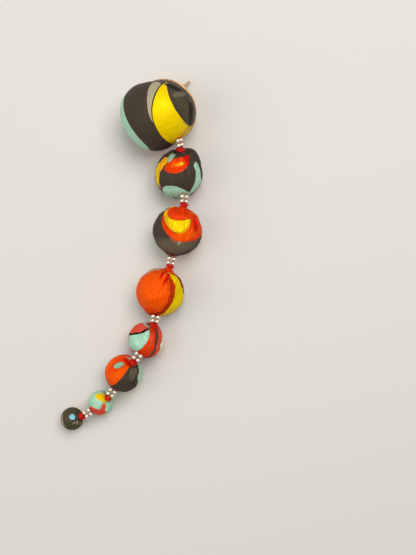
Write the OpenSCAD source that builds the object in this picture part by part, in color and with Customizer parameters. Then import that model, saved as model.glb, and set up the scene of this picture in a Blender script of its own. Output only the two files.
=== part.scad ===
// Long earring of silk-covered balls, lying on its back on a flat surface.
// A flat-backed top ball carries a metal disc with an ear post. Seven round balls of falling size
// hang from it. Each has its silk gathered in pleats into a neck that is bound with thread, and two
// threads with two small metal beads each join it to the ball above.
// The chain runs along Y, from the small end ball at -Y to the top ball at +Y. Z is up.

/* [Top ball] */
// Diameter of the top ball
dome_d = 24; // [23.8:0.1:24.4]
// Distance of the flat back from the centre of the top ball
flat_depth = 6; // [5.8:0.1:6.2]
// Angle between the flat back and the surface that it leans on
dome_tilt = 31; // [29:0.5:33]
// Direction in plan of the raised edge of the back, from +X towards +Y
raised_side = 65; // [60:1:70]
// Number of tucks in the silk round the flat back
tucks = 13; // [9:1:17]
// Depth of these tucks
tuck_depth = 0.35; // [0.1:0.05:0.5]

/* [Disc and post] */
// Diameter of the metal disc
disc_d = 21.6; // [21.2:0.1:21.8]
// Thickness of the metal disc
disc_t = 0.9; // [0.6:0.1:1.2]
// Radius of the disc's rounded edge
disc_edge_r = 0.25; // [0.1:0.05:0.3]
// Distance of the ear post from the centre of the disc
post_offset = 9.5; // [9:0.1:9.5]
// Angle round the disc from its raised side to the ear post
post_turn = -13; // [-25:1:25]
// Diameter of the ear post
post_d = 0.9; // [0.7:0.1:1]
// Height of the solder foot round the post
foot_h = 0.6; // [0.3:0.1:0.8]
// Diameter of the solder foot at the disc
foot_d = 2; // [1.5:0.1:2]

/* [Silk balls] */
// Diameter of the second ball
ball_2_d = 16.6; // [16:0.1:16.8]
// Diameter of the third ball
ball_3_d = 17; // [16:0.1:17.2]
// Diameter of the fourth ball
ball_4_d = 16.4; // [16:0.1:16.6]
// Diameter of the fifth ball
ball_5_d = 12.2; // [12:0.1:12.4]
// Diameter of the sixth ball
ball_6_d = 12.4; // [12:0.1:12.6]
// Diameter of the seventh ball
ball_7_d = 8.3; // [8:0.1:8.5]
// Diameter of the eighth ball
ball_8_d = 7.6; // [7.4:0.1:7.8]
// Depth of the valleys between the pleats, as a share of the ball's radius
pleat_share = 0.055; // [0.02:0.005:0.07]
// How far the silk sinks round the neck
neck_dip = 0.35; // [0.3:0.05:0.5]
// Height of the neck over the round of the ball
neck_h = 1; // [0.8:0.05:1.2]

/* [Binding] */
// Thickness of the binding thread
wind_d = 0.32; // [0.28:0.02:0.36]
// Number of turns of thread on each neck
winds = 4; // [3:1:4]
// Thickness of the binding under its outer turns
wind_base = 0.26; // [0.2:0.02:0.3]

/* [Beads and threads] */
// Diameter of the small metal beads
bead_d = 1.5; // [1.3:0.05:1.55]
// Diameter of their bores
bead_bore = 0.6; // [0.55:0.05:0.7]
// Distance between two beads on one thread
bead_pitch = 1.6; // [1.6:0.02:1.66]
// Distance of each thread from the middle of the link
thread_side = 0.8; // [0.8:0.01:0.84]
// Thickness of the threads
thread_d = 0.4; // [0.3:0.05:0.4]

/* [Hidden] */
// Gap between pieces that lie against each other
gap = 0.06;

// One row for each ball below the top one, in the order of the chain
D = 0;
X = 1;
Y = 2;
NECK_AZ = 3;
NECK_EL = 4;
EXIT_AZ = 5;
EXIT_EL = 6;
PLEATS = 7;
SIDES = 8;
// D diameter; X, Y centre in plan; NECK azimuth and elevation of the gathered neck; EXIT those of
// the point where the threads to the next ball come out; PLEATS their number; SIDES of the mesh
BALLS = [
    [ball_2_d, 15.5, 25.4, 84, 34, -74, 27, 11, 56],
    [ball_3_d, 15.1, 6.2, 75, 22, -101, 9, 12, 56],
    [ball_4_d, 9.4, -14.1, 69, 6, -98, 28, 13, 56],
    [ball_5_d, 4.7, -30, 61, 33, -112, 47, 11, 48],
    [ball_6_d, -2.8, -41, 46, 39, -119, 26, 10, 48],
    [ball_7_d, -10.5, -50.9, 36, 44, -137, 30, 9, 36],
    [ball_8_d, -20.1, -56.2, 16, 30, 0, 0, 9, 36]
];
TINTS = ["#35312f", "#d8481c", "#e2541a", "#e06a4a", "#d8501e", "#a9cdb8", "#57504a"];
// Angle by which each link is turned about its own line
TWISTS = [50, 33, 10, 6, 13, 8, 25];
LINKS = len(BALLS);

// Plan place of the top ball, and the azimuth and elevation where its threads come out
DOME_X = 9.35;
DOME_Y = 44.8;
DOME_EXIT = [-52, 18];

// Where the hand-made balls swell or are pressed flat. One row for each place: the number of the
// ball in the chain, its azimuth and elevation, how far it stands out and how wide it spreads
LOBES = [
    [1, 160, 5, 1.5, 34],
    [1, 92, 8, -1.3, 26],
    [1, -52, -10, -1.6, 30],
    [1, -98, 0, 0.5, 24],
    [2, 52, 12, 1.3, 24]
];

// Polar angles of the mesh's rings, from the neck for the balls and from the front for the top ball
BALL_RINGS = [164, 147, 130, 114, 99, 85, 72, 60, 49, 39, 30, 22];
SHOULDER_RINGS = [0.6, 0.3, 0];
DOME_RINGS = [117, 112, 105, 96, 86, 75, 63, 51, 39, 28, 18, 9];
DOME_EDGE = 120;
DOME_SIDES = 60;
SMOOTH = 48;

// Polar angles between which a form comes in or fades out
DIP_ZONE = [10, 34];
PLEAT_RISE = 12;
PLEAT_FADE = [26, 86];
TUCK_RISE = [66, 104];
TUCK_FADE = 8;
LOBE_FADE = 25;
// Distances from the neck's axis between which the lobes come in
LOBE_START = [1.5, 5];

// Unevenness of the pleats: sideways sway in degrees, share of the height, and the phase of each
SWAY = [7, 4];
UNEVEN = 0.2;
PHASES = [50, 90, 120];
TUCK_SEED = 5;

// Neck radius of a ball of no size, its growth with the ball's radius, and the rounding at its foot
NECK_BASE = 0.45;
NECK_GROWTH = 0.05;
NECK_ROUND = 0.1;
// Width of the flat rim of the top ball's mesh
FLAT_RIM = 1;

dome_r = dome_d / 2;
post_r = post_d / 2;
thread_r = thread_d / 2;
// The disc's rounded lower edge touches the surface
disc_back = flat_depth + gap + disc_t;
dome_z = (disc_back - disc_edge_r) * cos(dome_tilt)
    + (disc_d / 2 - disc_edge_r) * sin(dome_tilt) + disc_edge_r;
// The post's end touches it too
post_end_r = 0.2;
post_end = (dome_z + (post_offset * cos(post_turn) - post_end_r) * sin(dome_tilt)) / cos(dome_tilt);

function ball_r(i) = BALLS[i][D] / 2;
function ball_at(i) = [BALLS[i][X], BALLS[i][Y], ball_r(i)];
function heading(az, el) = [cos(az) * cos(el), sin(az) * cos(el), sin(el)];
function neck_axis(i) = heading(BALLS[i][NECK_AZ], BALLS[i][NECK_EL]);
function neck_r(r) = NECK_BASE + NECK_GROWTH * r;
function ramp(x, lo, hi) = let (t = min(1, max(0, (x - lo) / (hi - lo)))) t * t * (3 - 2 * t);

// Link k joins ball k above it to ball k + 1, where number 0 is the top ball
function upper_at(k) = k == 0 ? [DOME_X, DOME_Y, dome_z] : ball_at(k - 1);
function exit_axis(k) = k == 0
    ? heading(DOME_EXIT[0], DOME_EXIT[1])
    : heading(BALLS[k - 1][EXIT_AZ], BALLS[k - 1][EXIT_EL]);
function upper_r(k) = k == 0 ? dome_r + swell(lobes_of(1, 0, 0), exit_axis(0)) : ball_r(k - 1);
function link_start(k) = upper_at(k) + upper_r(k) * exit_axis(k);
function link_end(k) = ball_at(k) + (ball_r(k) + neck_h) * neck_axis(k);
function link_line(k) = link_end(k) - link_start(k);
function link_az(k) = let (v = link_line(k)) atan2(v[1], v[0]);
function link_el(k) = let (v = link_line(k)) asin(v[2] / norm(v));

// Ridge height over the valleys, 0 to 1, at angle a: round pleats of uneven width and height
function ridge(a, count, seed) =
    let (shift = SWAY[0] * sin(a + PHASES[0] * seed) + SWAY[1] * sin(2 * a + PHASES[1] * seed))
    abs(cos(count * (a + shift) / 2)) * (1 - UNEVEN + UNEVEN * sin(3 * a + PHASES[2] * seed));

// The silk falls in round the neck and the pleats fade out towards the ball's middle
function dip_at(t) = neck_dip * (1 - ramp(t, DIP_ZONE[0], DIP_ZONE[1]));
function pleat_at(t, t_neck) =
    ramp(t, t_neck, t_neck + PLEAT_RISE) * (1 - ramp(t, PLEAT_FADE[0], PLEAT_FADE[1]));

// Rows of the ball's mesh, from the far pole to the neck's top: radius, height, depth of valleys
function ball_rows(r) =
    let (
        n = neck_r(r),
        foot = n + NECK_ROUND,
        t_neck = asin(foot / r),
        last_ring = r * sin(BALL_RINGS[len(BALL_RINGS) - 1]),
        rims = [for (share = SHOULDER_RINGS) foot + (last_ring - foot) * share],
        polar = concat(BALL_RINGS, [for (rim = rims) asin(rim / r)])
    )
    concat(
        [for (t = polar) [r * sin(t), r * cos(t) - dip_at(t), r * pleat_share * pleat_at(t, t_neck)]],
        [[n, r - neck_dip + gap, 0], [n, r + neck_h - gap, 0]]
    );

// A direction in the frame of a piece that is tipped over from +Z towards azimuth az
function in_frame(v, az, tip) = [
    (v[0] * cos(az) + v[1] * sin(az)) * cos(tip) - v[2] * sin(tip),
    v[1] * cos(az) - v[0] * sin(az),
    (v[0] * cos(az) + v[1] * sin(az)) * sin(tip) + v[2] * cos(tip)
];
function total(v, i = 0) = i < len(v) ? v[i] + total(v, i + 1) : 0;
function lobes_of(number, az, tip) = [
    for (row = LOBES)
        if (row[0] == number) [in_frame(heading(row[1], row[2]), az, tip), row[3], row[4]]
];
function swell(lobes, p) = total([for (lobe = lobes)
    lobe[1] * exp(-pow(acos(min(1, p * lobe[0] / norm(p))) / lobe[2], 2) / 2)]);

function ball_point(i, row, a, lobes) =
    let (
        r = ball_r(i),
        p = [row[0] * cos(a), row[0] * sin(a), row[1]],
        drop = row[2] * (1 - ridge(a, BALLS[i][PLEATS], i)),
        clear_of_neck = ramp(row[0], LOBE_START[0], LOBE_START[1])
    )
    p * (1 + (swell(lobes, p) * clear_of_neck - drop) / r);

// Closed mesh of rings between two end points, with the rings listed from the bottom up
module ringed_solid(low, rings, high) {
    n = len(rings[0]);
    m = len(rings);
    last = 1 + n * m;
    points = concat([low], [for (ring = rings) each ring], [high]);
    faces = concat(
        [for (k = [0 : n - 1]) [0, 1 + k, 1 + (k + 1) % n]],
        [for (j = [0 : m - 2]) for (k = [0 : n - 1])
            [1 + j * n + k, 1 + (j + 1) * n + k, 1 + (j + 1) * n + (k + 1) % n]],
        [for (j = [0 : m - 2]) for (k = [0 : n - 1])
            [1 + j * n + k, 1 + (j + 1) * n + (k + 1) % n, 1 + j * n + (k + 1) % n]],
        [for (k = [0 : n - 1]) [last, last - n + (k + 1) % n, last - n + k]]
    );
    polyhedron(points, faces);
}

module in_dome_frame() {
    translate([DOME_X, DOME_Y, dome_z])
        rotate([0, 0, raised_side])
            rotate([0, -dome_tilt, 0])
                children();
}

module in_ball_frame(i) {
    translate(ball_at(i))
        rotate([0, 0, BALLS[i][NECK_AZ]])
            rotate([0, 90 - BALLS[i][NECK_EL], 0])
                children();
}

module in_link_frame(k) {
    translate(link_start(k))
        rotate([0, 0, link_az(k)])
            rotate([0, 90 - link_el(k), 0])
                rotate([0, 0, -TWISTS[k]])
                    children();
}

// Silk stretched over a ball with a flat back, with soft tucks where it turns under
module dome_ball() {
    back_r = sqrt(dome_r * dome_r - flat_depth * flat_depth);
    lobes = lobes_of(1, raised_side, -dome_tilt);
    rows = concat(
        [[back_r - FLAT_RIM, -flat_depth, 0, 0], [back_r - gap, -flat_depth + gap, 0, 0]],
        [for (t = DOME_RINGS) [
            dome_r * sin(t),
            dome_r * cos(t),
            tuck_depth * ramp(t, TUCK_RISE[0], TUCK_RISE[1]) * ramp(DOME_EDGE - t, 0, TUCK_FADE),
            ramp(DOME_EDGE - t, 0, LOBE_FADE)
        ]]
    );
    color("#2e2a29")
        in_dome_frame()
            ringed_solid(
                [0, 0, -flat_depth],
                [for (row = rows) [for (k = [0 : DOME_SIDES - 1])
                    let (
                        a = 360 * k / DOME_SIDES,
                        p = [row[0] * cos(a), row[0] * sin(a), row[1]],
                        drop = row[2] * (1 - ridge(a, tucks, TUCK_SEED))
                    )
                    p * (1 + (swell(lobes, p) * row[3] - drop) / dome_r)]],
                [0, 0, dome_r]
            );
}

// Metal disc with a rounded edge and an ear post soldered near its raised side
module post_back() {
    front = -flat_depth - gap;
    back = front - disc_t;
    edge = disc_d / 2 - disc_edge_r;
    color("#c9a45a")
        in_dome_frame()
            union() {
                rotate_extrude($fn = SMOOTH)
                    intersection() {
                        translate([0, back])
                            square([disc_d, disc_t]);
                        union() {
                            translate([0, back])
                                square([edge, disc_t]);
                            translate([0, back + disc_edge_r])
                                square([disc_d / 2, disc_t - 2 * disc_edge_r]);
                            translate([edge, back + disc_edge_r])
                                circle(disc_edge_r, $fn = SMOOTH);
                            translate([edge, front - disc_edge_r])
                                circle(disc_edge_r, $fn = SMOOTH);
                        }
                    }
                rotate([0, 0, post_turn])
                    translate([post_offset, 0, 0])
                        rotate_extrude($fn = SMOOTH)
                            polygon([
                                [0, back + disc_t / 2],
                                [0, -post_end],
                                [post_end_r, -post_end],
                                [post_r, -post_end + post_r - post_end_r],
                                [post_r, back - foot_h],
                                [foot_d / 2, back - gap],
                                [foot_d / 2, back + disc_t / 2]
                            ]);
            }
}

// Silk gathered over a round core into pleats and a short neck
module fabric_ball(i) {
    n = BALLS[i][SIDES];
    r = ball_r(i);
    lobes = lobes_of(i + 2, BALLS[i][NECK_AZ], 90 - BALLS[i][NECK_EL]);
    color(TINTS[i])
        in_ball_frame(i)
            ringed_solid(
                [0, 0, -r],
                [for (row = ball_rows(r))
                    [for (k = [0 : n - 1]) ball_point(i, row, 360 * k / n, lobes)]],
                [0, 0, r + neck_h - gap]
            );
}

// Thread wound round the neck, as one solid with a rounded turn for each winding
module neck_binding(i) {
    r = ball_r(i);
    bore = neck_r(r) + gap;
    foot = r - neck_dip + 2 * gap;
    height = neck_h + neck_dip - 4 * gap;
    pitch = (height - wind_d) / (winds - 1);
    color("#c01f1c")
        in_ball_frame(i)
            rotate_extrude($fn = SMOOTH)
                union() {
                    translate([bore, foot + wind_d / 2])
                        square([wind_base, height - wind_d]);
                    for (w = [0 : winds - 1])
                        translate([bore + wind_base, foot + wind_d / 2 + w * pitch])
                            circle(wind_d / 2, $fn = SMOOTH);
                }
}

// Two threads, each from the silk of the upper ball to the bound neck of the lower one
module link_thread(k) {
    color("#b8221e")
        for (side = [-1, 1])
            thread(k, side);
}

module thread(k, side) {
    line = link_line(k);
    u = line / norm(line);
    across = heading(link_az(k) + 90, 0);
    over = cross(across, u);
    base = link_start(k) + side * thread_side * (cos(TWISTS[k]) * across + sin(TWISTS[k]) * over);
    from_upper = base - upper_at(k);
    reach = upper_r(k) + gap + thread_r * sqrt(1 - pow(u * exit_axis(k), 2));
    start = -from_upper * u + sqrt(pow(from_upper * u, 2) - from_upper * from_upper + reach * reach);
    slant = u * neck_axis(k);
    top = ball_r(k) + neck_h + gap + thread_r * sqrt(1 - slant * slant);
    end = (top - (base - ball_at(k)) * neck_axis(k)) / slant;
    in_link_frame(k)
        translate([0, side * thread_side, start])
            cylinder(h = end - start, r = thread_r, $fn = SMOOTH);
}

// One drilled bead: number 1 and 2 next to the upper ball, 3 and 4 next to the neck
module silver_bead(k, number) {
    side = number % 2 == 1 ? -1 : 1;
    first = (norm(link_line(k)) - bead_pitch) / 2;
    along = number > 2 ? first + bead_pitch : first;
    color("#c9c6c0")
        in_link_frame(k)
            translate([0, side * thread_side, along])
                difference() {
                    sphere(d = bead_d, $fn = SMOOTH);
                    cylinder(h = 2 * bead_d, d = bead_bore, center = true, $fn = SMOOTH);
                }
}

function ball_name(i) = str("fabric_ball_", i + 2);
function binding_name(i) = str("neck_binding_", i + 2);
function thread_name(k) = str("link_thread_", k + 1);
function bead_name(k, number) = str("silver_bead_", k + 1, "_", number);

dome_ball();
post_back();
for (i = [0 : LINKS - 1]) {
    fabric_ball(i);
    neck_binding(i);
    link_thread(i);
    for (number = [1 : 4])
        silver_bead(i, number);
}
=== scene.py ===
"""Looks of one long earring of silk-covered balls, built round its packed CAD model."""

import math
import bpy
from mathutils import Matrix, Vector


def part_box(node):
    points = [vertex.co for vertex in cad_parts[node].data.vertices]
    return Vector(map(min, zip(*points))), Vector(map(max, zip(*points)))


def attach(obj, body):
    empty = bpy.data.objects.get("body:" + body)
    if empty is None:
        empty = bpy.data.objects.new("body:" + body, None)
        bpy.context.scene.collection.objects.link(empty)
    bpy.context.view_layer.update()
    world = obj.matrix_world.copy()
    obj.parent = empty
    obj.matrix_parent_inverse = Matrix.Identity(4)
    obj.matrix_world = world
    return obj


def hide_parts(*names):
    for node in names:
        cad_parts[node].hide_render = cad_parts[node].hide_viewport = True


bl_info = {
    "name": "Silk ball earring",
    "version": (1, 0, 0),
    "blender": (4, 5, 0),
    "location": "View3D > Sidebar > Earring",
    "description": "Dresses the earring's balls, necks, threads, beads and post in their materials",
    "category": "Object",
}

from typing import NamedTuple

import bmesh
import bpy
import numpy as np
from bpy.props import FloatProperty, IntProperty, PointerProperty, StringProperty
from bpy.types import Operator, Panel, PropertyGroup
from mathutils import Matrix, Vector

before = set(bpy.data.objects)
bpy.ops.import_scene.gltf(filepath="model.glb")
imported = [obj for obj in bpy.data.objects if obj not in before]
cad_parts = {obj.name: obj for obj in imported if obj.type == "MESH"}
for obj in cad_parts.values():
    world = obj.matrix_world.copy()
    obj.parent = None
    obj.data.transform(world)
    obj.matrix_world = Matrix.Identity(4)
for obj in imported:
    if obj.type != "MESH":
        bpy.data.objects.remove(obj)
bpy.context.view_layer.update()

MM = 0.001
BODY = "root"

# Where the camera stands and what it looks at, in mm, and its field of view over the long side
CAMERA_AT = (25.3, -26.9, 261.4)
LOOK_AT = (25.3, -8.65, 0.0)
FIELD_OF_VIEW = math.radians(40.0)

# Where the two soft boxes stand and their width, and half the floor's width, in metres
KEY_LIGHT = ((0.12, 0.15, 0.46), 0.34)
FILL_LIGHT = ((-0.34, -0.06, 0.34), 0.40)
FLOOR_HALF = 2.0


class Ball(NamedTuple):
    """A silk ball under the top one: its number in the chain, its diameter and its centre in
    plan, the azimuth and elevation of its gathered neck, its number of pleats, and how far the
    gathers stand up from it. In mm and degrees"""

    number: int
    diameter: float
    plan: tuple
    neck: tuple
    pleats: int
    stand: float

    @property
    def radius(self):
        """Half the diameter"""
        return self.diameter / 2

    @property
    def centre(self):
        """Centre of the ball, which rests on the surface"""
        return np.array([*self.plan, self.radius])

    @property
    def turn(self):
        """Rotation that turns +Z to the neck"""
        azimuth, elevation = self.neck
        return tipped(azimuth, 90 - elevation)

    @property
    def neck_radius(self):
        """Radius of the gathered neck under its thread"""
        return NECK_BASE + NECK_GROWTH * self.radius


BALLS = [
    Ball(2, 16.6, (15.5, 25.4), (84, 34), 11, 0.16),
    Ball(3, 17.0, (15.1, 6.2), (75, 22), 12, 0.58),
    Ball(4, 16.4, (9.4, -14.1), (69, 6), 13, 0.62),
    Ball(5, 12.2, (4.7, -30.0), (61, 33), 11, 0.22),
    Ball(6, 12.4, (-2.8, -41.0), (46, 39), 10, 0.18),
    Ball(7, 8.3, (-10.5, -50.9), (36, 44), 9, 0.10),
    Ball(8, 7.6, (-20.1, -56.2), (16, 30), 9, 0.10),
]

# Each of these balls hangs by a link of two threads, and these beads are on the one and the other
LINKS = len(BALLS)
THREADED = ((1, 3), (2, 4))

# Deep folds on the side that shows, for each ball: where the fold ends, to the right and up as
# the camera sees it in ball radii, and its depth in mm
FOLDS = {
    2: [((0.42, 0.36), 0.25), ((-0.60, 0.50), 0.25), ((0.64, 0.60), 0.25)],
    3: [((0.68, 0.40), 0.55), ((-0.40, 0.70), 0.25), ((0.84, 0.05), 0.25)],
    4: [((0.48, 0.05), 0.75), ((0.06, 0.40), 0.45), ((0.90, 0.05), 0.70), ((-0.20, 0.62), 0.25)],
    5: [((-0.88, 0.28), 0.55), ((0.62, -0.45), 0.40), ((0.12, -0.05), 0.30), ((0.82, 0.2), 0.40)],
    6: [((0.00, 0.76), 0.40), ((-0.30, -0.15), 0.35), ((0.62, -0.25), 0.40), ((0.86, -0.2), 0.35)],
    7: [((0.40, -0.70), 0.30), ((-0.10, -0.45), 0.20)],
    8: [((0.42, -0.45), 0.25), ((0.45, 0.70), 0.20)],
}

# The top ball: its number in the chain, its centre, diameter and distance of its flat back in
# mm, then how that back is tipped and which side of it is raised, in degrees
DOME_NUMBER = 1
DOME_AT = (9.35, 44.8, 11.435)
DOME_DIAMETER = 24.0
DOME_FLAT = 6.0
DOME_TILT = 31
DOME_RAISED_SIDE = 65

# Tucks of the silk at the flat back: their number, then the polar angles from the ball's front
# between which they deepen, and the angle from its edge over which they end, in degrees
TUCKS = 13
TUCK_RISE = (66, 104)
TUCK_END = 8
# Angle from that edge over which the swells end
SWELL_END = 25
# The first and last ring round the ball, as polar angles, and the number of rings
DOME_POLAR = (117, 3)
DOME_RINGS = 71

# Where the balls swell or are pressed flat: number of the ball, azimuth and elevation in degrees,
# how far it stands out in mm, how wide it spreads in degrees
LOBES = [
    (1, (160, 5), 1.5, 34),
    (1, (92, 8), -1.3, 26),
    (1, (-52, -10), -1.6, 30),
    (1, (-98, 0), 0.5, 24),
    (2, (52, 12), 1.3, 24),
]
# Distances from the neck's axis between which the swells come in
LOBE_START = (1.5, 5)

# The tucks are uneven: how far they stray round the ball in degrees, the phases of that, and the
# share of their height that varies
SWAY = (7, 4)
PHASES = (50, 90, 120)
UNEVEN = 0.2
TUCK_SEED = 5

# The gathered neck: its height over the ball, and its radius as so much and this share of the
# ball's radius, in mm
NECK_HEIGHT = 0.94
NECK_BASE = 0.45
NECK_GROWTH = 0.05
# Radius of the collar of gathers under the thread, in radii of the neck, and by how much of
# their stand it grows
COLLAR_WIDTH = 1.2
COLLAR_GROWTH = 0.75

# The gathers round a neck, wide ones and small ones between them: where they end, as a mean
# polar angle and its spread in degrees, and how deep they are beside a usual gather
WIDE_ENDS = (62, 24)
WIDE_DEPTH = (0.6, 0.4)
SMALL_ENDS = (38, 9)
SMALL_DEPTH = 0.5
# Share of a gather's width by which it may stray
STRAY = 0.3
# Share of their depth that gathers keep where they don't stand up from the ball
LOW_GATHERS = 0.45
# Folds open by this share between these polar angles, and snake by this angle, all in degrees,
# at this many times the rate of the polar angle
FOLD_OPENING = 1.5
OPENING_ZONE = (25, 80)
FOLD_SNAKE = 4
SNAKE_RATE = 2.2
# A fold is drawn at its full depth over this share of its length, and is no deeper than this
# share of the distance from the neck's axis
FOLD_FULL = 0.4
FOLD_MOST = 0.4

# Rings of a ball's mesh: the polar angle of the first one, in degrees, their number down to
# where the gathers leave the ball, and their number from there to the neck
FAR_POLAR = 176
BALL_RINGS = 62
CONE_RINGS = 15
# Polar angles between which the silk loses its slack
SLACK_ZONE = (20, 60)

# How far a link's thread runs on into the silk, and how near its middle a point is its own
THREAD_OVERRUN = 0.4
THREAD_REACH = 0.5
# Corners round a thread, and points along one turn of a knot and along a link's thread
THREAD_SIDES = 10
KNOT_STEPS = 44
STRAND_POINTS = 40
# Rounded ends of a thread: width of the last ring and how far the end stands out, in radii
END_WIDTH = 0.6
END_REACH = 0.4

# A knot, in widths of its thread: from the silk to the middle of the first turn, sideways and
# upwards, then from turn to turn, from layer to layer, how far the second layer bulges, and how
# far the turns stray outwards and upwards
KNOT_BESIDE = 0.2
KNOT_ABOVE = 0.4
KNOT_PITCH = 0.85
KNOT_LAYER = 0.75
KNOT_BULGE = 0.25
KNOT_STRAY = (0.12, 0.10)

# How far a ball's box may lie from its centre and diameter, for swells, flats and necks, in mm
SOLID_ALLOWANCE = 1.0

# The silk is simulated this many metres large for each mm, because cloth is tuned to metres
SIM_SCALE = 0.1
# At that scale, in metres: the room from sheet to sheet and the thickness of a core's skin. Then
# how well a core grips the silk
SIM_APART = 3.0
SIM_SKIN = 0.005
SIM_GRIP = 5
CLOTH = {
    "quality": 5,
    "mass": 0.3,
    "bending_stiffness": 0.1,
    "vertex_group_mass": "held",
    "vertex_group_shrink": "loose",
    "shrink_min": 0.0,
    "use_pressure": True,
    "uniform_pressure_force": -0.5,
}

# Distances from the far pole, in ball radii, between which the fine creases of a neck come in
PULLS_START = (1.1, 2.7)
# Clouds in the dye bath for each mm, so that one is some 3 mm across
CLOUD_SCALE = 0.35
# A printed shape's soft edge takes up no more than this share of its half width
SOFTEST = 0.9
# Plies of a thread, and how much finer scuffs are than dents
PLIES = 2
SCUFF_FINENESS = 3
# Tooth of the paper: grains for each metre, and their height
PAPER_GRAINS = 900.0
PAPER_TOOTH = 0.02 * MM


class Shape(NamedTuple):
    """One shape on the silk, an oval that may bend: most shapes are print, some are painted shade
    and some painted sheen. Its middle lies to the right and up on the ball as the camera sees it,
    in ball radii: from 1 on it is on the far side, up to 2. At 1 itself the long axis must not
    point outwards. Its turn is in degrees, its half length and half width are in degrees of arc,
    and the widths of its outline and of its soft edge are in mm"""

    dye: str
    place: tuple
    turn: float
    half: tuple
    bend: float = 0
    line: str = ""
    line_width: float = 0
    soft: float = 0
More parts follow.
